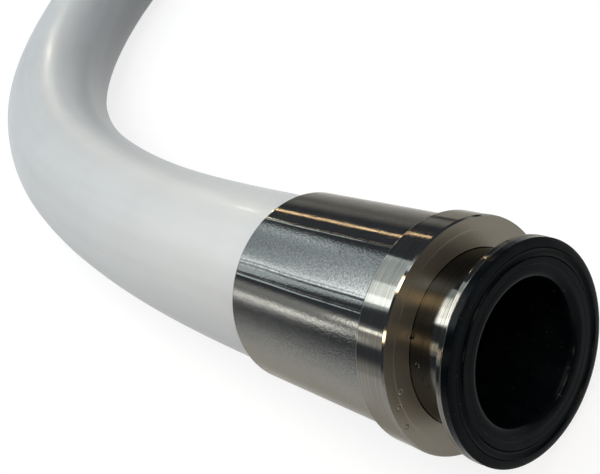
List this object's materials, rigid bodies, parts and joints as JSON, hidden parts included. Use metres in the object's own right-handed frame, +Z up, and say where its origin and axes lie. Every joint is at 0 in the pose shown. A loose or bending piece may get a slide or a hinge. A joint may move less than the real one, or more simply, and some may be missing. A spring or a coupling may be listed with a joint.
{
  "type": "ptfe lined hose",
  "caption": "Smooth-bore lined transfer hose with a white rubber cover, swaged steel sleeves and sanitary clamp ends, lying in a wide bend.",
  "frame": {"origin": "centre of the near sealing face", "axes": "+X out of the near bore along its axis, +Z up from the surface that the hose lies on, and the hose turns towards +Y"},
  "size_m": [0.5526, 0.5044, 0.0556],
  "materials": {
    "liner": "black conductive fluoropolymer, semi-gloss",
    "braid": "stainless wire",
    "cover": "smooth semi-gloss white rubber",
    "spigot": "fine-turned stainless steel",
    "sleeve": "swaged stainless steel with fine lengthwise marks"
  },
  "bodies": {
    "root": {"ptfe_liner": "liner", "wire_braid": "braid", "hose_cover": "cover", "near_spigot": "spigot", "near_sleeve": "sleeve", "far_spigot": "spigot", "far_sleeve": "sleeve"}
  },
  "joints": []
}
